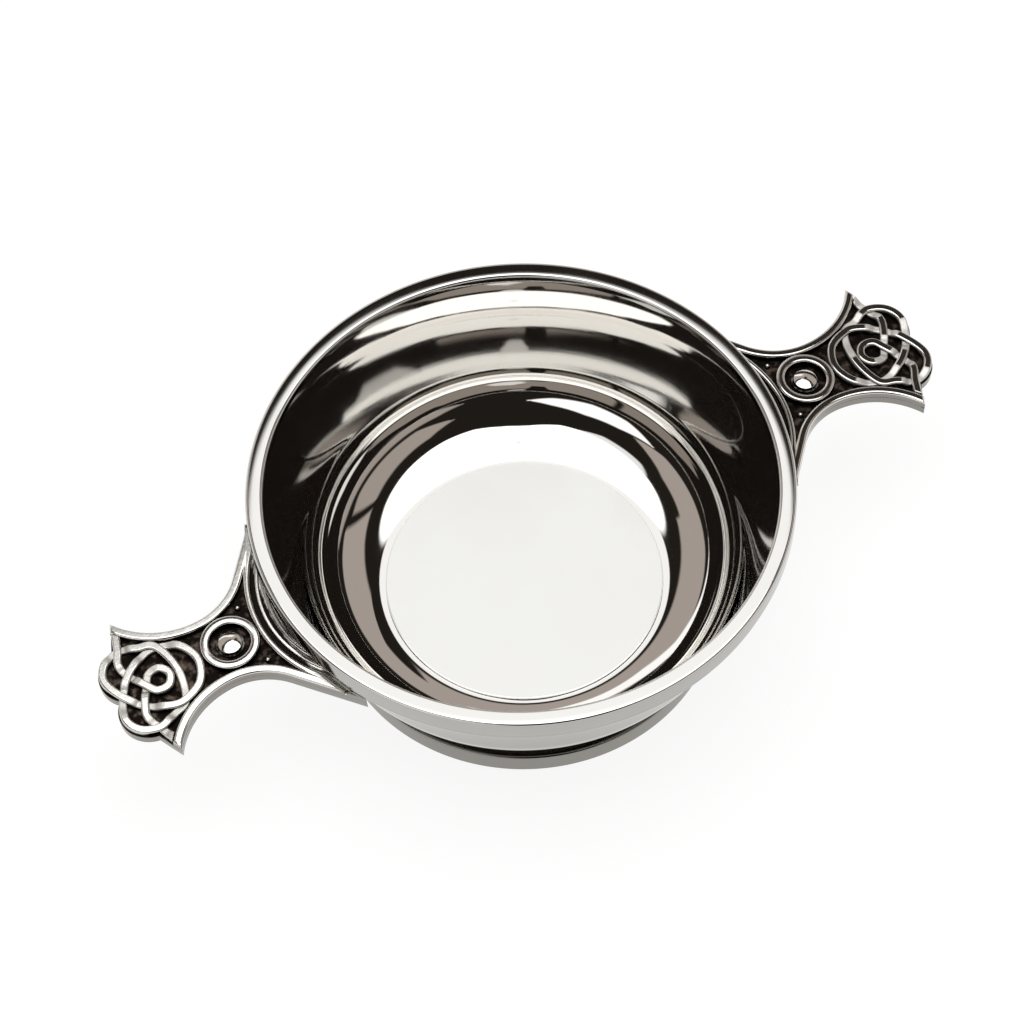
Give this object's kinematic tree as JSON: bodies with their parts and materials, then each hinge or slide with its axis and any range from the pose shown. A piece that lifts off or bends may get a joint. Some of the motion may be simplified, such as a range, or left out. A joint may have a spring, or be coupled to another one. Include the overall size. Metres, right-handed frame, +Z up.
{
  "type": "quaich",
  "caption": "Shallow round drinking bowl of polished pewter on a low ring foot, with flat lug handles that carry an interlaced knot and a domed boss in raised relief.",
  "frame": {"origin": "centre of the foot's resting face", "axes": "+Z up, the lugs along +X and -X"},
  "size_m": [0.1666, 0.1, 0.0398],
  "materials": {
    "polished_pewter": "spun and mirror polished",
    "relief_pewter": "cast, tops polished, hollows left dark",
    "oxidised_pewter": "cast and chemically darkened, dull"
  },
  "bodies": {
    "root": {"bowl": "polished_pewter", "rim_wire": "polished_pewter", "floor_print": "polished_pewter", "foot_collar": "polished_pewter", "foot_wire": "polished_pewter", "left_lug_plate": "oxidised_pewter", "left_lug_border": "relief_pewter", "left_lug_crescent": "relief_pewter", "left_boss_ring": "relief_pewter", "left_boss_stud": "relief_pewter", "left_corner_pellets": "relief_pewter", "left_knot_trefoil": "relief_pewter", "left_knot_loop": "relief_pewter", "right_lug_plate": "oxidised_pewter", "right_lug_border": "relief_pewter", "right_lug_crescent": "relief_pewter", "right_boss_ring": "relief_pewter", "right_boss_stud": "relief_pewter", "right_corner_pellets": "relief_pewter", "right_knot_trefoil": "relief_pewter", "right_knot_loop": "relief_pewter"}
  },
  "joints": []
}
